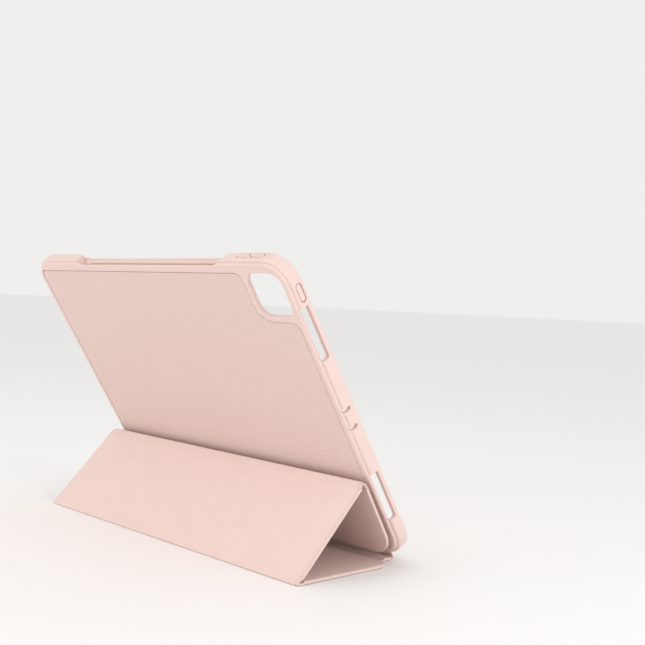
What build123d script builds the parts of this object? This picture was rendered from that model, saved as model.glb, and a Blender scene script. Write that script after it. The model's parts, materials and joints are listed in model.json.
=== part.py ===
from build123d import *
from math import atan2, cos, degrees, radians, sin, sqrt
import os

# Folding tablet case: a moulded TPU tray with a leather back, and a three-panel cover that
# folds behind the tray into a triangular stand. It is modelled standing, in millimetres:
# X runs along the long side, the screen side faces -Y, the back faces +Y, and Z = 0 is the table.

# ---- driving dimensions --------------------------------------------------------------------
tray_length = 287.0
tray_height = 224.5
tray_depth = 11.0
tray_corner = 18.0
lean = 33.0

bay_length = 281.2
bay_height = 215.2
bay_depth = 6.5
bay_corner = 15.5
bay_from_bottom = 2.3
lip_thickness = 1.3
lip_overhang = 1.8
floor_thickness = 1.0
microfibre = 0.4
lining_gap = 1.0

back_skin_thickness = 0.8
back_board_thickness = 1.0
side_margin = 6.0
top_margin = 8.3
back_corner = 5.5
pocket_from_bottom = 4.5
pocket_mouth_height = 8.0
back_skin_from_bottom = 1.5
skin_gap = 0.15
board_gap = 1.0
rim_inset = 2.2
rear_edge_round = 1.2
side_edge_round = 2.0
front_edge_round = 1.4

cover_thickness = 2.8
cover_leather = 0.7
cover_board = 1.4
crease_thickness = 1.4
hem = 3.0
cover_gap = 0.5
spine_length = 265.0
spine_crease = 2.4
fold_1_crease = 7.5
fold_2_crease = 9.0
panel_1_reach = 83.2
panel_2_reach = 76.4
panel_3_reach = 59.0
panel_3_stand_off = 5.5
panel_3_tilt = 1.2
near_corner = 10.0

back_magnet_size = (20.0, 8.0)
back_magnet_depth = 0.8
back_magnet_level = 24.0
cover_magnet_size = (22.0, 6.0)
cover_magnet_depth = 1.0
cover_magnets_from_edge = 8.0
wake_magnet_radius = 4.0
wake_magnet_from_edge = 9.0

window_size = (30.2, 30.0)
window_corner = 8.5
window_at = (121.9, 200.9)
window_rim = 3.5
window_round = 0.8
slot_length = 37.0
slot_width = 6.6
slot_level = 4.2
slot_corner = 1.6
slot_cut = 4.0
lower_slot_at = 50.0
upper_slot_at = 173.0
mic_slots_at = (105.0, 118.2)
mic_slot_size = (6.2, 2.8)
mic_slot_level = 4.0
port_size = (14.0, 6.6)

power_button_at = 200.0
power_button_level = 6.0
power_button_size = (11.2, 3.8)
volume_buttons_at = (118.4, 105.0)
volume_button_size = (10.6, 3.2)
button_moat = 0.6
button_flange = 0.8
flange_overlap = 0.4
flange_gap = 0.2
button_travel = 0.5
button_end_gap = 0.1
volume_button_stand = 0.4
button_crown = 0.6

stylus_diameter = 8.9
stylus_length = 166.0
trough_clearance = 0.2
trough_end_room = 2.0
charging_window = (150.0, 4.0)
charging_window_half_height = 2.3
rim_dip = 4.2
dip_half_length = 78.0
dip_slope = 12.0

# ---- sizes that follow ---------------------------------------------------------------------
pocket_depth = back_skin_thickness + back_board_thickness
bay_floor = pocket_depth + floor_thickness
device_middle = bay_floor + microfibre + bay_depth / 2
port_at = bay_from_bottom + bay_height / 2
bay_top = bay_from_bottom + bay_height
half_cover = cover_thickness / 2
side_wall = (tray_length - bay_length) / 2
top_wall = tray_height - bay_top
flange_reach = button_moat + flange_overlap
button_pocket = button_flange + button_travel + button_end_gap

# ---- where the hinges lie when the case stands ---------------------------------------------
lean_angle = radians(lean)
up = Vector(0, sin(lean_angle), cos(lean_angle))
rearward = Vector(0, cos(lean_angle), -sin(lean_angle))

# The back hinge runs just under the tray's rear bottom edge. The tray's top rear edge and its
# bottom front edge are the ends of the case, and both are the same distance from Y = 0.
hinge_below_tray = cover_gap + half_cover
hinge_inside_back = back_skin_thickness / 2
top_edge = tray_height - rim_inset - rear_edge_round + hinge_below_tray
reach_behind = top_edge * sin(lean_angle) + rear_edge_round
reach_behind -= (rear_edge_round - hinge_inside_back) * cos(lean_angle)
front_edge = tray_depth - front_edge_round - hinge_inside_back
reach_before = front_edge * cos(lean_angle) + front_edge_round
reach_before -= (front_edge_round + hinge_below_tray) * sin(lean_angle)
back_hinge = Vector(0, (reach_before - reach_behind) / 2, half_cover)

tray_origin = back_hinge + up * hinge_below_tray + rearward * hinge_inside_back
tray_plane = Plane(origin=tray_origin, x_dir=(-1, 0, 0), z_dir=rearward)

spine_reach = tray_depth + cover_gap + half_cover - hinge_inside_back
spine_joint = back_hinge + Vector(0, spine_reach, 0)
fold_1 = spine_joint + Vector(0, panel_1_reach, 0)

# Fold 2 lies a small stand-off behind the tray's back, at the height that panel 2 just reaches.
stand_off_foot = tray_origin + rearward * panel_3_stand_off
to_foot = stand_off_foot - fold_1
along = to_foot.dot(up)
fold_2_height = sqrt(along**2 - to_foot.length**2 + panel_2_reach**2) - along
fold_2 = stand_off_foot + up * fold_2_height
panel_2_angle = degrees(atan2(fold_2.Z - fold_1.Z, fold_2.Y - fold_1.Y))
panel_3_angle = 270 - lean + panel_3_tilt
print("hinges (Y, Z):")
for name, point in (("back", back_hinge), ("spine", spine_joint), ("fold 1", fold_1), ("fold 2", fold_2)):
    print(f"  {name}: {point.Y:.4f}, {point.Z:.4f}")
print(f"panel 2 at {panel_2_angle:.4f} deg, panel 3 at {panel_3_angle:.4f} deg")
print(f"tray origin {tray_origin.Y:.4f}, {tray_origin.Z:.4f}, fold 2 up the tray {fold_2_height:.3f}")

os.makedirs("parts", exist_ok=True)


def tray_level(height):
    """The tray's plane seen from behind: local X to the right, local Y up the tray."""
    return tray_plane.offset(height)


def side_plane(side, depth_inside=0.0):
    """Plane in a short side wall: local X runs up the tray, local Y across its depth."""
    outward = Vector(side, 0, 0)
    origin = tray_origin + outward * (tray_length / 2 - depth_inside)
    return Plane(origin=origin, x_dir=up, z_dir=outward)


def top_plane(depth_inside=0.0):
    """Plane in the tray's top wall: local X runs along +X, local Y towards the rear."""
    return Plane(origin=tray_origin + up * (tray_height - depth_inside), x_dir=(1, 0, 0), z_dir=up)


def cover_plane(hinge, angle, level=0.0):
    """Plane of a cover panel: local Y leaves the hinge, local Z points to the lining side."""
    tilt = radians(angle)
    lining_side = Vector(0, sin(tilt), -cos(tilt))
    return Plane(origin=hinge + lining_side * level, x_dir=(-1, 0, 0), z_dir=lining_side)


def panel_face(near, far, width, near_radius=0.0, far_radius=0.0):
    """A panel's outline in the open sketch, with its own corner radius at each end."""
    half = width / 2
    with BuildLine() as outline:
        FilletPolyline(
            (-half, near),
            (half, near),
            (half, far),
            (-half, far),
            radius=[near_radius, near_radius, far_radius, far_radius],
            close=True,
        )
    make_face(outline.edges())


def back_face(inset=0.0):
    """The leather back's outline in the open sketch, with its notch round the camera window."""
    bottom = pocket_from_bottom + inset
    bottom_radius = tray_corner - side_margin - inset
    side = tray_length / 2 - side_margin - inset
    top = tray_height - top_margin - inset
    notch_side = window_at[0] - window_size[0] / 2 - window_rim - inset
    notch_bottom = window_at[1] - window_size[1] / 2 - window_rim - inset
    notch_radius = window_corner + window_rim + inset
    with BuildLine() as outline:
        FilletPolyline(
            (-side, bottom),
            (side, bottom),
            (side, notch_bottom),
            (notch_side, notch_bottom),
            (notch_side, top),
            (-side, top),
            radius=[bottom_radius, bottom_radius, back_corner, notch_radius, back_corner, back_corner],
            close=True,
        )
    make_face(outline.edges())


def name_and_write(part, label):
    """Name a finished piece and write it as its own file."""
    part.label = label
    export_step(part, f"parts/{label}.step")


# ---- tray: one TPU moulding ----------------------------------------------------------------
with BuildPart() as tray_frame:
    # Side wall and a stepped rear rim, which leave a soft valley between them.
    rearward_axis = Axis(tray_origin, rearward)
    with BuildSketch(tray_level(-tray_depth)):
        with Locations((0, tray_height / 2)):
            RectangleRounded(tray_length, tray_height, tray_corner)
    extrude(amount=tray_depth - pocket_depth)
    fillet(tray_frame.faces().sort_by(rearward_axis)[-1].edges(), side_edge_round)
    fillet(tray_frame.faces().sort_by(rearward_axis)[0].edges(), front_edge_round)
    with BuildSketch(tray_level(-pocket_depth)):
        with Locations((0, tray_height / 2)):
            inset = 2 * rim_inset
            RectangleRounded(tray_length - inset, tray_height - inset, tray_corner - rim_inset)
    extrude(amount=pocket_depth)
    fillet(tray_frame.faces().sort_by(rearward_axis)[-1].edges(), rear_edge_round)

    # Bay for the tablet, and the opening inside the front lip.
    with BuildSketch(tray_level(lip_thickness - tray_depth)):
        with Locations((0, bay_from_bottom + bay_height / 2)):
            RectangleRounded(bay_length, bay_height, bay_corner)
    extrude(amount=tray_depth - lip_thickness - bay_floor, mode=Mode.SUBTRACT)
    with BuildSketch(tray_level(-tray_depth)):
        with Locations((0, bay_from_bottom + bay_height / 2)):
            overhang = 2 * lip_overhang
            RectangleRounded(bay_length - overhang, bay_height - overhang, bay_corner - lip_overhang)
    extrude(amount=lip_thickness, mode=Mode.SUBTRACT)

    # Pocket in the back for the stiffener and the leather, open along the hinge.
    with BuildSketch(tray_level(-pocket_depth)):
        back_face()
        Rectangle(spine_length + 2 * skin_gap, 2 * pocket_mouth_height)
    extrude(amount=pocket_depth, mode=Mode.SUBTRACT)

    # Camera window, with its outer rim rounded.
    with BuildSketch(tray_level(-bay_floor)):
        with Locations(window_at):
            RectangleRounded(*window_size, window_corner)
    extrude(amount=bay_floor, mode=Mode.SUBTRACT)
    window_middle = tray_plane.from_local_coords((*window_at, 0))
    outer_rim = tray_frame.edges().group_by(rearward_axis)[-1].sort_by_distance(window_middle)[:4]
    fillet(outer_rim, window_round)

    # Stylus trough: a round-bottomed cradle in the top wall, whose rim dips in the middle.
    trough_plane = Plane(origin=tray_origin, x_dir=rearward, z_dir=(1, 0, 0))
    with BuildSketch(trough_plane):
        with Locations((-device_middle, bay_top + stylus_diameter / 2)):
            Circle(stylus_diameter / 2 + trough_clearance)
    extrude(amount=stylus_length / 2 + trough_end_room, both=True, mode=Mode.SUBTRACT)
    with BuildSketch(tray_level(-tray_depth - 1)):
        dip_floor = tray_height - rim_dip
        slope_top = tray_height + 1
        with BuildLine():
            FilletPolyline(
                (-dip_half_length, dip_floor),
                (dip_half_length, dip_floor),
                (dip_half_length + dip_slope, slope_top),
                (-dip_half_length - dip_slope, slope_top),
                radius=[dip_slope, dip_slope, 0, 0],
                close=True,
            )
        make_face()
    extrude(amount=tray_depth + 2, mode=Mode.SUBTRACT)

    # Charging window between the trough and the bay.
    with BuildSketch(tray_level(-device_middle)):
        with Locations((0, bay_top)):
            SlotOverall(*charging_window)
    extrude(amount=charging_window_half_height, both=True, mode=Mode.SUBTRACT)

    # Speaker slots on both short sides, with the port on one and microphone slots on the other.
    for side in (-1, 1):
        with BuildSketch(side_plane(side, slot_cut)):
            with Locations((lower_slot_at, side * slot_level), (upper_slot_at, side * slot_level)):
                RectangleRounded(slot_length, slot_width, slot_corner)
            if side > 0:
                with Locations((port_at, device_middle)):
                    SlotOverall(*port_size)
        extrude(amount=slot_cut + 1, mode=Mode.SUBTRACT)
    with BuildSketch(side_plane(-1, slot_cut)):
        with Locations(*[(place, -mic_slot_level) for place in mic_slots_at]):
            SlotOverall(*mic_slot_size, rotation=90)
    extrude(amount=slot_cut + 1, mode=Mode.SUBTRACT)

    # Each button has a hole through its wall, and a wider pocket inside for its flange.
    power_hole = (side_plane(-1, side_wall), [(power_button_at, -power_button_level)], power_button_size, side_wall)
    volume_places = [(-place, -device_middle) for place in volume_buttons_at]
    volume_holes = (top_plane(top_wall), volume_places, volume_button_size, top_wall)
    for inner_plane, places, (length, width), wall in (power_hole, volume_holes):
        for reach, depth in ((button_moat, wall + 1), (flange_reach + flange_gap, button_pocket)):
            with BuildSketch(inner_plane):
                with Locations(*places):
                    SlotOverall(length + 2 * reach, width + 2 * reach)
            extrude(amount=depth, mode=Mode.SUBTRACT)

name_and_write(tray_frame.part, "tray_frame")

# ---- microfibre pad on the bay's floor -----------------------------------------------------
with BuildPart() as tray_lining:
    with BuildSketch(tray_level(-bay_floor - microfibre)):
        with Locations((0, bay_from_bottom + bay_height / 2)):
            pad_length = bay_length - 2 * lining_gap
            pad_height = bay_height - 2 * lining_gap
            RectangleRounded(pad_length, pad_height, bay_corner - lining_gap)
        with Locations(window_at):
            hole_length = window_size[0] + 2 * lining_gap
            hole_height = window_size[1] + 2 * lining_gap
            RectangleRounded(hole_length, hole_height, window_corner + lining_gap, mode=Mode.SUBTRACT)
    extrude(amount=microfibre)

name_and_write(tray_lining.part, "tray_lining")

# ---- stiffener, its magnets and the leather back --------------------------------------------
back_magnets_at = [(x, back_magnet_level) for x in (-105.0, -35.0, 35.0, 105.0)]

with BuildPart() as back_board:
    with BuildSketch(tray_level(-pocket_depth)):
        back_face(inset=board_gap)
    extrude(amount=back_board_thickness)
    with BuildSketch(tray_level(-pocket_depth)):
        with Locations(*back_magnets_at):
            Rectangle(*back_magnet_size)
    extrude(amount=back_magnet_depth, mode=Mode.SUBTRACT)

name_and_write(back_board.part, "back_board")

with BuildPart() as back_magnets:
    with BuildSketch(tray_level(-pocket_depth)):
        with Locations(*back_magnets_at):
            Rectangle(*back_magnet_size)
    extrude(amount=back_magnet_depth)

name_and_write(back_magnets.part, "back_magnets")

with BuildPart() as back_skin:
    with BuildSketch(tray_level(-back_skin_thickness)):
        back_face(inset=skin_gap)
        with Locations((0, back_skin_from_bottom)):
            Rectangle(spine_length, pocket_mouth_height, align=(Align.CENTER, Align.MIN))
    extrude(amount=back_skin_thickness)

name_and_write(back_skin.part, "back_skin")


# ---- flexible creases: leather and lining glued together, bent as they are in the stand ------
def crease(near_end, hinge, far_end, bend_radius, length, label):
    """A bent strip from one board's edge to the next, round the hinge line between them."""
    with BuildPart() as strip:
        with BuildSketch(Plane.YZ):
            with BuildLine() as middle:
                FilletPolyline(
                    (near_end.Y, near_end.Z), (hinge.Y, hinge.Z), (far_end.Y, far_end.Z), radius=bend_radius
                )
            trace(middle.line, line_width=crease_thickness)
        extrude(amount=length / 2, both=True)
    name_and_write(strip.part, label)


def direction(angle):
    """Unit vector across the case at an angle from +Y."""
    return Vector(0, cos(radians(angle)), sin(radians(angle)))


back_skin_edge = back_hinge + up * (hinge_below_tray + back_skin_from_bottom)
crease(back_skin_edge, back_hinge, back_hinge + Vector(0, spine_crease, 0), 1.2, spine_length, "back_hinge")
fold_1_half = fold_1_crease / 2
crease(
    fold_1 - Vector(0, fold_1_half, 0),
    fold_1,
    fold_1 + direction(panel_2_angle) * fold_1_half,
    1.6,
    tray_length,
    "fold_1_hinge",
)
fold_2_half = fold_2_crease / 2
crease(
    fold_2 - direction(panel_2_angle) * fold_2_half,
    fold_2,
    fold_2 + direction(panel_3_angle) * fold_2_half,
    2.8,
    tray_length,
    "fold_2_hinge",
)

with BuildPart() as spine_hinge:
    with BuildSketch(cover_plane(spine_joint, 0, -crease_thickness / 2)):
        Rectangle(spine_length, 2 * spine_crease)
    extrude(amount=crease_thickness)

name_and_write(spine_hinge.part, "spine_hinge")

# ---- spine and three panels: leather turned round a stiff board, and a lining glued over it --
panels = {
    # name: hinge, angle, near edge, far edge, width, near corner radius, far corner radius
    "spine": (back_hinge, 0, spine_crease, spine_reach - spine_crease, spine_length, 0, 0),
    "panel_1": (spine_joint, 0, spine_crease, panel_1_reach - fold_1_half, tray_length, near_corner, 0),
    "panel_2": (fold_1, panel_2_angle, fold_1_half, panel_2_reach - fold_2_half, tray_length, 0, 0),
    "panel_3": (fold_2, panel_3_angle, fold_2_half, panel_3_reach, tray_length, 0, tray_corner),
}
board_inset = {"spine": 0.8, "panel_1": 1.2, "panel_2": 1.2, "panel_3": 1.2}
free_edge_magnets_at = [(x, panel_3_reach - cover_magnets_from_edge) for x in (-112, -84, 84, 112)]
wake_magnet_at = (60.0, panel_3_reach - wake_magnet_from_edge)

for name, (hinge, angle, near, far, width, near_radius, far_radius) in panels.items():
    crease_inset = board_inset[name]
    far_inset = hem if far_radius else crease_inset
    board_shape = (
        near + crease_inset,
        far - far_inset,
        width - 2 * hem,
        max(near_radius - crease_inset, 0),
        max(far_radius - far_inset, 0),
    )

    with BuildPart() as panel_skin:
        with BuildSketch(cover_plane(hinge, angle, -half_cover)):
            panel_face(near, far, width, near_radius, far_radius)
        extrude(amount=cover_leather + cover_board)
        with BuildSketch(cover_plane(hinge, angle, -cover_board / 2)):
            panel_face(*board_shape)
        extrude(amount=cover_board, mode=Mode.SUBTRACT)
    name_and_write(panel_skin.part, f"{name}_skin")

    with BuildPart() as panel_board:
        with BuildSketch(cover_plane(hinge, angle, -cover_board / 2)):
            panel_face(*board_shape)
        extrude(amount=cover_board)
        if name == "panel_3":
            with BuildSketch(cover_plane(hinge, angle, cover_board / 2 - cover_magnet_depth)):
                with Locations(*free_edge_magnets_at):
                    Rectangle(*cover_magnet_size)
                with Locations(wake_magnet_at):
                    Circle(wake_magnet_radius)
            extrude(amount=cover_magnet_depth, mode=Mode.SUBTRACT)
    name_and_write(panel_board.part, f"{name}_board")

    with BuildPart() as panel_lining:
        with BuildSketch(cover_plane(hinge, angle, cover_board / 2)):
            panel_face(near, far, width, near_radius, far_radius)
        extrude(amount=cover_leather)
    name_and_write(panel_lining.part, f"{name}_lining")

# ---- magnets in panel 3: four hold the free edge, and one wakes the tablet -------------------
with BuildPart() as panel_3_magnets:
    with BuildSketch(cover_plane(fold_2, panel_3_angle, cover_board / 2 - cover_magnet_depth)):
        with Locations(*free_edge_magnets_at):
            Rectangle(*cover_magnet_size)
    extrude(amount=cover_magnet_depth)

name_and_write(panel_3_magnets.part, "panel_3_magnets")

with BuildPart() as wake_magnet:
    with BuildSketch(cover_plane(fold_2, panel_3_angle, cover_board / 2 - cover_magnet_depth)):
        with Locations(wake_magnet_at):
            Circle(wake_magnet_radius)
    extrude(amount=cover_magnet_depth)

name_and_write(wake_magnet.part, "wake_magnet")


# ---- buttons: TPU pills that slide in their holes, each kept in by a flange ------------------
def button(plane_at_depth, wall, place, size, stand, label):
    """A pill that fills its hole but for the moat, with a flange inside and a crowned end."""
    start = wall - button_travel - button_end_gap
    inner_plane = plane_at_depth(start)
    with BuildPart() as pill:
        with BuildSketch(inner_plane):
            with Locations(place):
                SlotOverall(*size)
        extrude(amount=start + stand)
        fillet(pill.faces().sort_by(Axis(inner_plane.origin, inner_plane.z_dir))[-1].edges(), button_crown)
        with BuildSketch(inner_plane):
            with Locations(place):
                SlotOverall(size[0] + 2 * flange_reach, size[1] + 2 * flange_reach)
        extrude(amount=button_flange)
    name_and_write(pill.part, label)


def power_wall(depth):
    """Plane in the wall with the power button."""
    return side_plane(-1, depth)


button(power_wall, side_wall, (power_button_at, -power_button_level), power_button_size, 0, "power_button")
for place, label in zip(volume_places, ("volume_up_button", "volume_down_button")):
    button(top_plane, top_wall, place, volume_button_size, volume_button_stand, label)
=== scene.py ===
import bpy, bmesh, json, math
from mathutils import Matrix, Vector


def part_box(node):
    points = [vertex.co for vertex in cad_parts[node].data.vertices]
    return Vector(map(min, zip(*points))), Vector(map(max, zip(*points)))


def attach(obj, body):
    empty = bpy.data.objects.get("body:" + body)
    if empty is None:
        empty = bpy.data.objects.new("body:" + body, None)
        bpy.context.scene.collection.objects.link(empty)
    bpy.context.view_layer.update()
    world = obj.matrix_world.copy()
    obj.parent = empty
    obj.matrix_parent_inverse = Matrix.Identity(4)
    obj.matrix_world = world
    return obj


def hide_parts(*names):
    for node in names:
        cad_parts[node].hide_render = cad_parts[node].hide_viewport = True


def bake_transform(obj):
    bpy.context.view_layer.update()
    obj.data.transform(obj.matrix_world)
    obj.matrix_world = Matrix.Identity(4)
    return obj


# A folding tablet case, standing on its cover. The tray leans back, and the three-panel cover
# behind it makes a triangle.
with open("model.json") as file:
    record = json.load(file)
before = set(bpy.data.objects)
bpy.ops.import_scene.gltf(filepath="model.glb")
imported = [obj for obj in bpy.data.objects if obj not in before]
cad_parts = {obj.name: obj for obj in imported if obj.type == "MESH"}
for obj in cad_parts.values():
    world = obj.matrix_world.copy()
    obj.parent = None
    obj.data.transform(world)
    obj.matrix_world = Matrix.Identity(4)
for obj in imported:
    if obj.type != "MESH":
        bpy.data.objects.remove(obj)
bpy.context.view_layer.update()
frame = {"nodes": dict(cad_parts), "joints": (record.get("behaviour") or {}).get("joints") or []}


# ---- camera --------------------------------------------------------------------------------
# A nearly level view of the case's back, from the camera window's end, through a 57 mm lens. The
# camera is rolled a little, and its lens is shifted by about a hundredth of the frame.
mm = 0.001  # the scene is in metres, and a size in millimetres is written as a number times mm
camera_at = Vector((-577.6, 450.6, 167.3)) * mm
yaw, pitch, roll = math.radians(-46.338), math.radians(1.446), math.radians(2.647)
ahead = -Vector((math.sin(yaw) * math.cos(pitch), math.cos(yaw) * math.cos(pitch), math.sin(pitch)))
level = ahead.cross(Vector((0, 0, 1))).normalized()
above = level.cross(ahead)
right = math.cos(roll) * level + math.sin(roll) * above
top = math.cos(roll) * above - math.sin(roll) * level
camera = bpy.data.objects.new("camera", bpy.data.cameras.new("camera"))
bpy.context.collection.objects.link(camera)
turn = Matrix((right, top, -ahead)).transposed().to_4x4()
camera.matrix_world = Matrix.Translation(camera_at) @ turn
camera.data.sensor_width = 36
camera.data.lens = 56.79
camera.data.shift_x, camera.data.shift_y = 0.0133, 0.0121
camera.data.clip_start = 0.01
bpy.context.scene.camera = camera


# ---- floor and studio light ----------------------------------------------------------------
# A pale painted floor under plain soft light, in a room that is nearly white. One square panel
# hangs behind and over the case, one stands low behind it, and one beside the camera window.
def linear(code):
    """A six-digit sRGB hex colour as linear RGBA."""
    parts = [int(code[at:at + 2], 16) / 255 for at in (0, 2, 4)]
    return [c / 12.92 if c <= 0.04045 else ((c + 0.055) / 1.055) ** 2.4 for c in parts] + [1.0]


def add(tree, kind, inputs=None, **settings):
    """Adds a node. An input is given a number or colour, or is linked if it's given a socket."""
    node = tree.nodes.new(kind)
    for name, value in settings.items():
        setattr(node, name, value)
    for name, value in (inputs or {}).items():
        if isinstance(value, bpy.types.NodeSocket):
            tree.links.new(value, node.inputs[name])
        else:
            node.inputs[name].default_value = value
    return node


def new_material(name):
    """A material with an empty node tree, and the output that its shader feeds."""
    material = bpy.data.materials.new(name)
    material.use_nodes = True
    material.node_tree.nodes.clear()
    return material, material.node_tree


# Matt paint with a faint roller texture: 3 mm dimples, which only soften its sheen.
floor_paint, tree = new_material("matt_painted_floor")
place = add(tree, "ShaderNodeTexCoord").outputs["Object"]
dimples = add(tree, "ShaderNodeTexNoise", {"Vector": place, "Scale": 1 / (3 * mm), "Detail": 2.0})
relief = add(tree, "ShaderNodeBump", {"Height": dimples.outputs["Fac"], "Distance": 0.02 * mm})
paint = add(tree, "ShaderNodeBsdfPrincipled", {
    "Base Color": linear("f6f5f4"), "Roughness": 0.75, "Normal": relief.outputs["Normal"]})
add(tree, "ShaderNodeOutputMaterial", {"Surface": paint.outputs["BSDF"]})

floor_reach = 40  # metres each way, so that its edge is far off
sheet = bmesh.new()
bmesh.ops.create_grid(sheet, x_segments=1, y_segments=1, size=floor_reach)
floor = bpy.data.objects.new("floor", bpy.data.meshes.new("floor"))
sheet.to_mesh(floor.data)
floor.data.materials.append(floor_paint)
bpy.context.collection.objects.link(floor)

room = bpy.data.worlds.new("pale_room")
room.use_nodes = True
room.node_tree.nodes["Background"].inputs["Color"].default_value = linear("fbfaf9")
room.node_tree.nodes["Background"].inputs["Strength"].default_value = 0.9
bpy.context.scene.world = room
bpy.context.scene.view_settings.view_transform = "Standard"
lit_point = Vector((0, 0, 0.09))
for name, spot, size, watts in (
    ("top_light", (0.25, 0.95, 1.45), 0.5, 2.8),
    ("rear_light", (0.5, 1.6, 0.25), 0.6, 4.0),
    ("side_light", (-1.3, 0.15, 0.45), 0.5, 4.5),
):
    lamp = bpy.data.objects.new(name, bpy.data.lights.new(name, "AREA"))
    lamp.data.size, lamp.data.energy = size, watts
    lamp.location = spot
    aim = lit_point - Vector(spot)
    lamp.rotation_euler = aim.to_track_quat("-Z", "Y").to_euler()
    bpy.context.collection.objects.link(lamp)


# ---- tray and buttons ----------------------------------------------------------------------
# One flexible TPU moulding that holds the tablet: four walls, a lip round the screen, the camera
# window and the stylus trough. Its three button covers are the same material.
def dress(names, material):
    """Gives carried-over pieces their material."""
    for name in names:
        mesh = frame["nodes"][name].data
        mesh.materials.clear()
        mesh.materials.append(material)


# Injection-moulded TPU from a finely sparked mould: smooth and matt, with a broad soft gleam.
# The mould's 0.1 mm grit is drawn at 0.6 mm, so that it shows.
tpu, tree = new_material("moulded_tpu")
place = add(tree, "ShaderNodeTexCoord").outputs["Object"]
cloud = add(tree, "ShaderNodeTexNoise", {"Vector": place, "Scale": 1 / (45 * mm), "Detail": 3.0})
tint = add(tree, "ShaderNodeValToRGB", {"Fac": cloud.outputs["Fac"]})
tint.color_ramp.elements[0].color = linear("e3cac3")
tint.color_ramp.elements[1].color = linear("e8d0c9")
grit = add(tree, "ShaderNodeTexNoise", {"Vector": place, "Scale": 1 / (0.6 * mm), "Detail": 2.0})
gloss = add(tree, "ShaderNodeMapRange", {
    "Value": grit.outputs["Fac"], "To Min": 0.44, "To Max": 0.56})
relief = add(tree, "ShaderNodeBump", {"Height": grit.outputs["Fac"], "Distance": 0.008 * mm})
moulding = add(tree, "ShaderNodeBsdfPrincipled", {
    "Base Color": tint.outputs["Color"], "Roughness": gloss.outputs["Result"],
    "IOR": 1.5, "Specular IOR Level": 0.45, "Subsurface Weight": 0.04,
    "Subsurface Radius": (1.5 * mm, 0.8 * mm, 0.6 * mm), "Subsurface Scale": 1.0,
    "Normal": relief.outputs["Normal"]})
add(tree, "ShaderNodeOutputMaterial", {"Surface": moulding.outputs["BSDF"]})
dress(("tray_frame", "power_button", "volume_up_button", "volume_down_button"), tpu)


# ---- pad in the bay ------------------------------------------------------------------------
# A thin microfibre sheet is glued to the bay's floor, so that the tray doesn't scratch the
# tablet. The cover's lining is the same cloth.

# Microfibre suede, brushed: the nap scatters light, so it is matt with a pale sheen at the
# edges. Its 0.1 mm fibres are drawn as 0.5 mm tufts, in 9 mm patches that lie different ways.
microfibre, tree = new_material("brushed_microfibre")
place = add(tree, "ShaderNodeTexCoord").outputs["Object"]
patches = add(tree, "ShaderNodeTexNoise", {"Vector": place, "Scale": 1 / (9 * mm), "Detail": 3.0})
tufts = add(tree, "ShaderNodeTexNoise", {"Vector": place, "Scale": 1 / (0.5 * mm), "Detail": 3.0})
nap = add(tree, "ShaderNodeMath", {
    0: patches.outputs["Fac"], 1: tufts.outputs["Fac"]}, operation="ADD")
tint = add(tree, "ShaderNodeMapRange", {"Value": nap.outputs[0], "From Min": 0.7, "From Max": 1.3})
shade = add(tree, "ShaderNodeValToRGB", {"Fac": tint.outputs["Result"]})
shade.color_ramp.elements[0].color = linear("e4cbc4")
shade.color_ramp.elements[1].color = linear("e8d0c9")
relief = add(tree, "ShaderNodeBump", {"Height": tufts.outputs["Fac"], "Distance": 0.03 * mm})
cloth = add(tree, "ShaderNodeBsdfPrincipled", {
    "Base Color": shade.outputs["Color"], "Roughness": 0.9, "Specular IOR Level": 0.2,
    "Sheen Weight": 0.25, "Sheen Roughness": 0.5, "Sheen Tint": linear("fbeae4"),
    "Normal": relief.outputs["Normal"]})
add(tree, "ShaderNodeOutputMaterial", {"Surface": cloth.outputs["BSDF"]})
dress(("tray_lining",), microfibre)


# ---- stiffener boards ----------------------------------------------------------------------
# Flat boards inside the leather keep the back, the spine and the three panels stiff. They are
# glued in, and only show if the case is taken apart.

# Pressed grey board: matt, with short pale and dark fibres about 1.5 mm long.
greyboard, tree = new_material("pressed_greyboard")
place = add(tree, "ShaderNodeTexCoord").outputs["Object"]
lay = add(tree, "ShaderNodeMapping", {"Vector": place, "Scale": (1.0, 3.0, 3.0)})
fibres = add(tree, "ShaderNodeTexNoise", {
    "Vector": lay.outputs["Vector"], "Scale": 1 / (1.5 * mm), "Detail": 4.0})
tint = add(tree, "ShaderNodeValToRGB", {"Fac": fibres.outputs["Fac"]})
tint.color_ramp.elements[0].color = linear("b9b4ab")
tint.color_ramp.elements[1].color = linear("d2cdc3")
relief = add(tree, "ShaderNodeBump", {"Height": fibres.outputs["Fac"], "Distance": 0.03 * mm})
board = add(tree, "ShaderNodeBsdfPrincipled", {
    "Base Color": tint.outputs["Color"], "Roughness": 0.85, "Normal": relief.outputs["Normal"]})
add(tree, "ShaderNodeOutputMaterial", {"Surface": board.outputs["BSDF"]})
dress(("back_board", "spine_board", "panel_1_board", "panel_2_board", "panel_3_board"), greyboard)


# ---- magnets -------------------------------------------------------------------------------
# Flat neodymium magnets are let into the boards. Four in the back and four along panel 3's free
# edge hold the stand and the closed cover, and a round one wakes the tablet.

# Nickel plating, barrel polished: bright, with a fine haze of 0.4 mm tumbling marks.
nickel, tree = new_material("barrel_polished_nickel")
place = add(tree, "ShaderNodeTexCoord").outputs["Object"]
marks = add(tree, "ShaderNodeTexNoise", {"Vector": place, "Scale": 1 / (0.4 * mm), "Detail": 3.0})
haze = add(tree, "ShaderNodeMapRange", {"Value": marks.outputs["Fac"], "To Min": 0.22, "To Max": 0.38})
plate = add(tree, "ShaderNodeBsdfPrincipled", {
    "Base Color": linear("cfcdc8"), "Metallic": 1.0, "Roughness": haze.outputs["Result"]})
add(tree, "ShaderNodeOutputMaterial", {"Surface": plate.outputs["BSDF"]})
dress(("back_magnets", "panel_3_magnets", "wake_magnet"), nickel)


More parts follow.
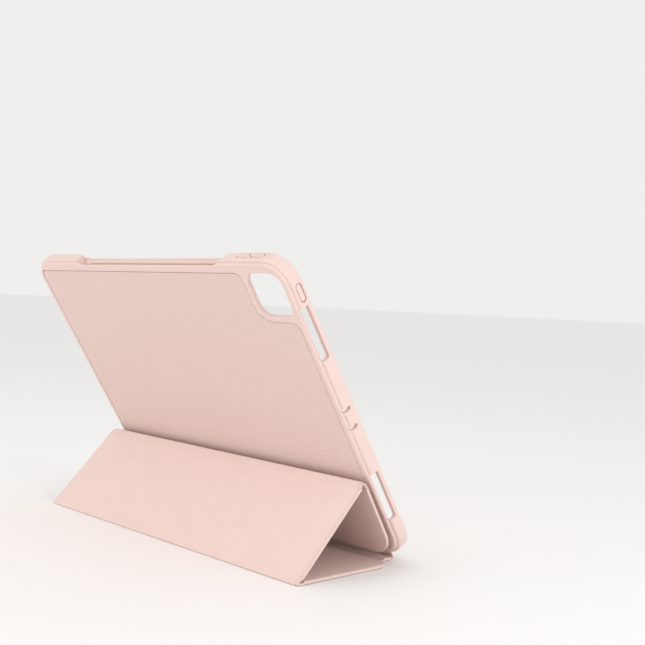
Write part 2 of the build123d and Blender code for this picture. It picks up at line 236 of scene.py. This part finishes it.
# ---- leather back --------------------------------------------------------------------------
# A sheet of coated leather fills the tray's rear pocket, flush with the rim, and leaves a fine
# groove all round. Its cut edge is rolled over, so the groove is wider at its mouth.
def finish_piece(shape, name, material):
    """Makes a finished bmesh an object, with soft edges and level flats."""
    bmesh.ops.recalc_face_normals(shape, faces=shape.faces)
    mesh = bpy.data.meshes.new(name)
    shape.to_mesh(mesh)
    shape.free()
    mesh.materials.append(material)
    mesh.shade_smooth()
    mesh.set_sharp_from_angle(angle=math.radians(50))
    piece = bpy.data.objects.new(name, mesh)
    bpy.context.collection.objects.link(piece)
    flats = piece.modifiers.new("level_flats", "WEIGHTED_NORMAL")
    flats.keep_sharp = True
    return piece


# Polyurethane-coated split leather, plated under a fine grain roller: a matt, even skin with
# 0.8 mm pebbles in shallow creases, which are darkened by painted shade, and a little colour
# drift over some 60 mm.
leather, tree = new_material("grained_pu_leather")
place = add(tree, "ShaderNodeTexCoord").outputs["Object"]
wander = add(tree, "ShaderNodeTexNoise", {"Vector": place, "Scale": 1 / (2.5 * mm), "Detail": 2.0})
bend = add(tree, "ShaderNodeVectorMath", {0: wander.outputs["Color"], 3: 0.6 * mm}, operation="SCALE")
spread = add(tree, "ShaderNodeVectorMath", {0: place, 1: bend.outputs["Vector"]}, operation="ADD")
pebbles = add(tree, "ShaderNodeTexVoronoi", {
    "Vector": spread.outputs["Vector"], "Scale": 1 / (0.8 * mm)}, feature="DISTANCE_TO_EDGE")
# How far each point lies from a crease between the pebbles. It sets their relief and gloss, and it is also
# the mask for the painted shade in the creases.
grain_relief_and_shade_mask = add(tree, "ShaderNodeMapRange", {"Value": pebbles.outputs["Distance"], "From Max": 0.22})
drift = add(tree, "ShaderNodeTexNoise", {"Vector": place, "Scale": 1 / (60 * mm), "Detail": 4.0})
tint = add(tree, "ShaderNodeValToRGB", {"Fac": drift.outputs["Fac"]})
tint.color_ramp.elements[0].color = linear("e3cac3")
tint.color_ramp.elements[1].color = linear("e8d0c9")
# Painted shade: the creases are mixed towards a darker colour, dac1ba, and the pebbles' middles keep the
# drifting tint.
painted_crease_shade = add(tree, "ShaderNodeMix", {
    "Factor": grain_relief_and_shade_mask.outputs["Result"], "A": linear("dac1ba"), "B": tint.outputs["Color"]}, data_type="RGBA")
gloss = add(tree, "ShaderNodeMapRange", {
    "Value": grain_relief_and_shade_mask.outputs["Result"], "To Min": 0.72, "To Max": 0.6})
relief = add(tree, "ShaderNodeBump", {
    "Height": grain_relief_and_shade_mask.outputs["Result"], "Distance": 0.02 * mm, "Strength": 0.8})
skin = add(tree, "ShaderNodeBsdfPrincipled", {
    "Roughness": gloss.outputs["Result"], "IOR": 1.5, "Specular IOR Level": 0.35,
    "Sheen Weight": 0.05, "Sheen Roughness": 0.6, "Normal": relief.outputs["Normal"]})
tree.links.new(painted_crease_shade.outputs[2], skin.inputs["Base Color"])
add(tree, "ShaderNodeOutputMaterial", {"Surface": skin.outputs["BSDF"]})

lean = math.radians(33)  # of the tray, back from upright
up = Vector((0, math.sin(lean), math.cos(lean)))
rearward = Vector((0, math.cos(lean), -math.sin(lean)))
hair = 0.001 * mm  # what lies closer than this counts as one
drawn_in = (0.9974, 0.9966, 0.9966)  # the sheet against its pocket, which opens the groove
rolled_edge = 0.4 * mm
shape = bmesh.new()
shape.from_mesh(frame["nodes"]["back_skin"].data)
bmesh.ops.remove_doubles(shape, verts=shape.verts, dist=hair)
bmesh.ops.dissolve_limit(shape, angle_limit=math.radians(0.5), verts=shape.verts, edges=shape.edges)
low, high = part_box("back_skin")
bmesh.ops.scale(shape, vec=drawn_in, verts=shape.verts,
                space=Matrix.Translation(-(low + high) / 2))
outer = max(shape.faces, key=lambda face: face.normal.dot(rearward) * face.calc_area())
bmesh.ops.bevel(shape, geom=outer.edges[:], offset=rolled_edge, segments=3, profile=0.5,
                affect="EDGES", material=-1)
back_leather = finish_piece(shape, "back_leather", leather)
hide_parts("back_skin")
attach(back_leather, "tray")


# ---- spine and panels ----------------------------------------------------------------------
# Each panel is a board in leather that is turned over its edges, with the lining glued over the
# turned hem. The board shows through the leather as a low plateau, a hem's width inside.
# Levels are measured from the middle of the cover's thickness: its two faces at half_cover, the
# leather's hem at leather_side, and the seam between leather and lining at seam_level.
half_cover, leather_side, seam_level = 1.4 * mm, 1.1 * mm, 1.05 * mm
border = 2.4 * mm  # of leather, round the lining
panel_hem, spine_hem, hem_slope = 2.2 * mm, 0.9 * mm, 0.5 * mm
leather_edge, cloth_edge = 0.6 * mm, 0.25 * mm
joints = {joint["name"]: Vector(joint["pos_m"]) for joint in frame["joints"] if "pos_m" in joint}
slant = joints["second_fold"] - joints["first_fold"]
slant_angle = math.atan2(slant.z, slant.y)
fold_2_turn = next(joint["range_deg"][1] for joint in frame["joints"]
                   if joint["name"] == "second_fold")
stand_angle = slant_angle + math.radians(fold_2_turn)
panels = {
    # name: hinge, angle, near edge, far edge, width, near corner radius, far corner radius (mm)
    "spine": ("cover_hinge", 0.0, 2.4, 10.1, 265.0, 0.0, 0.0),
    "panel_1": ("spine_fold", 0.0, 2.4, 79.45, 287.0, 10.0, 0.0),
    "panel_2": ("first_fold", slant_angle, 3.75, 71.9, 287.0, 0.0, 0.0),
    "panel_3": ("second_fold", stand_angle, 4.5, 59.0, 287.0, 0.0, 18.0),
}


def cover_place(hinge, angle):
    """Turns a panel's own axes (X along the fold, Y away from it, Z to the lining) into place."""
    along, across = Vector((-1, 0, 0)), Vector((0, math.cos(angle), math.sin(angle)))
    to_lining = Vector((0, math.sin(angle), -math.cos(angle)))
    return Matrix.Translation(hinge) @ Matrix((along, across, to_lining)).transposed().to_4x4()


def sheet_blank(near, far, width, near_radius, far_radius, low, high):
    """A flat sheet with rounded corners, from one level to another."""
    blank = bmesh.new()
    bmesh.ops.create_grid(blank, x_segments=1, y_segments=1, size=0.5)
    bmesh.ops.scale(blank, vec=(width, far - near, 1), verts=blank.verts)
    bmesh.ops.translate(blank, vec=(0, (near + far) / 2, low), verts=blank.verts)
    for radius, row in ((near_radius, blank.verts[:2]), (far_radius, blank.verts[2:])):
        if radius > 0:
            bmesh.ops.bevel(blank, geom=row, offset=radius, segments=10, profile=0.5,
                            affect="VERTICES", material=-1)
    grown = bmesh.ops.extrude_face_region(blank, geom=blank.faces[:])["geom"]
    lifted = [item for item in grown if isinstance(item, bmesh.types.BMVert)]
    bmesh.ops.translate(blank, vec=(0, 0, high - low), verts=lifted)
    bmesh.ops.recalc_face_normals(blank, faces=blank.faces)
    return blank


for name, (joint, angle, near, far, width, near_radius, far_radius) in panels.items():
    place = cover_place(joints[joint], angle)
    size = [value * mm for value in (near, far, width, near_radius, far_radius)]

    # Leather: round the turned edges, then raise the board's plateau inside the hem.
    shape = sheet_blank(*size, -leather_side, seam_level)
    rims = [edge for edge in shape.edges if abs(edge.verts[0].co.z - edge.verts[1].co.z) < hair]
    bmesh.ops.bevel(shape, geom=rims, offset=leather_edge, segments=3, profile=0.5,
                    affect="EDGES", material=-1)
    plateau = max((face for face in shape.faces if face.normal.z < -0.9),
                  key=lambda face: face.calc_area())
    hem = spine_hem if name == "spine" else panel_hem
    bmesh.ops.inset_region(shape, faces=[plateau], thickness=hem, use_even_offset=True)
    bmesh.ops.inset_region(shape, faces=[plateau], thickness=hem_slope, use_even_offset=True,
                           depth=half_cover - leather_side)
    bmesh.ops.transform(shape, matrix=place, verts=shape.verts)
    piece = finish_piece(shape, name + "_leather", leather)
    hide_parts(name + "_skin")
    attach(piece, name)

    # Lining: it stops short of the free edges, so that the turned leather shows as a border.
    size[2] -= 2 * border
    if near_radius:
        size[3] -= border
    if far_radius:
        size[1], size[4] = size[1] - border, size[4] - border
    shape = sheet_blank(*size, seam_level, half_cover)
    shows = max((face for face in shape.faces if face.normal.z > 0.9),
                key=lambda face: face.calc_area())
    bmesh.ops.bevel(shape, geom=shows.edges[:], offset=cloth_edge, segments=3, profile=0.5,
                    affect="EDGES", material=-1)
    bmesh.ops.transform(shape, matrix=place, verts=shape.verts)
    piece = finish_piece(shape, name + "_cloth", microfibre)
    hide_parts(name + "_lining")
    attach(piece, name)


# ---- folds between the panels --------------------------------------------------------------
# Between two boards the leather and the lining are glued straight to each other, which leaves a
# thin band that bends. Each fold is two strips, and both bend about the hinge line.
def fold_strip(name, hinge, angles, reaches, levels, rounds, length, pull, material):
    """A strip across a fold. Levels are its two faces' distances from the cover's middle, to the
    lining side, rounds the bend's radius on each face, and pull how far its ends draw in."""
    shape = bmesh.new()
    first, second = angles
    before = Vector((0, -math.cos(first), -math.sin(first)))
    after = Vector((0, math.cos(second), math.sin(second)))
    sides = [Vector((0, math.sin(angle), -math.cos(angle))) for angle in angles]
    mitre = (sides[0] + sides[1]) / (1 + sides[0].dot(sides[1]))
    rows = []
    for height in levels:
        rows.append([hinge + before * reaches[0] + sides[0] * height, hinge + mitre * height,
                     hinge + after * reaches[1] + sides[1] * height])
    ring = [shape.verts.new(point - Vector((length / 2, 0, 0))) for point in rows[0] + rows[1][::-1]]
    section = shape.faces.new(ring)
    grown = bmesh.ops.extrude_face_region(shape, geom=[section])["geom"]
    moved = [item for item in grown if isinstance(item, bmesh.types.BMVert)]
    bmesh.ops.translate(shape, vec=(length, 0, 0), verts=moved)
    for vert in shape.verts:
        if any((vert.co - row[1]).yz.length < hair for row in rows):
            vert.co.x -= math.copysign(pull, vert.co.x)
    bmesh.ops.recalc_face_normals(shape, faces=shape.faces)
    turn = abs(second - first)
    for corner, radius in zip((rows[0][1], rows[1][1]), rounds):
        if radius > 0 and turn > 0.01:
            crests = [edge for edge in shape.edges
                      if all((vert.co - corner).yz.length < hair for vert in edge.verts)]
            bmesh.ops.bevel(shape, geom=crests, offset=radius * math.tan(turn / 2), segments=10,
                            profile=0.5, affect="EDGES", material=-1)
    return finish_piece(shape, name, material)


fold_outside = -0.15 * mm  # the level of the leather's outer face where it bends
folds = {
    # name: joint, bodies, angles, reach, length, crest radius, pull (mm), CAD node
    "fold_1": ("first_fold", ("panel_1", "panel_2"), (0.0, slant_angle),
               3.85, 287.0, 1.4, 1.0, "fold_1_hinge"),
    "fold_2": ("second_fold", ("panel_2", "panel_3"), (slant_angle, stand_angle),
               4.6, 287.0, 2.6, 2.2, "fold_2_hinge"),
    "spine_fold": ("spine_fold", ("spine", "panel_1"), (0.0, 0.0),
                   2.5, 265.0, 0.0, 0.0, "spine_hinge"),
}
for name, (joint, bodies, angles, reach, length, crest, pull, node) in folds.items():
    hinge = joints[joint]
    reaches = (reach * mm, reach * mm)
    under = max(crest * mm - half_cover + seam_level, 0)
    cloth = fold_strip(name + "_cloth", hinge, angles, reaches, (seam_level, half_cover),
                       (under, crest * mm), length * mm - 2 * border, pull * mm, microfibre)
    hide = fold_strip(name + "_leather", hinge, angles, reaches, (fold_outside, seam_level),
                      (0, under), length * mm, pull * mm, leather)
    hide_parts(node)
    for piece in (cloth, hide):
        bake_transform(piece)


# ---- crease from the back to the spine -----------------------------------------------------
# The leather of the back runs on, past the tray's bottom edge, to the spine. It is one thin
# strip, and it bends sharply just under the tray.
crease_half = 0.4 * mm  # half of the strip's thickness
hinge = joints["cover_hinge"]
back_angle = math.atan2(-up.z, -up.y)
turned = sorted((back_angle % (2 * math.pi), 2 * math.pi))
tail = fold_strip("back_crease", hinge, turned, (3.4 * mm, 2.5 * mm), (-crease_half, crease_half),
                  (0.3 * mm, 1.0 * mm), 265.0 * mm, 0, leather)
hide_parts("back_hinge")
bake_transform(tail)
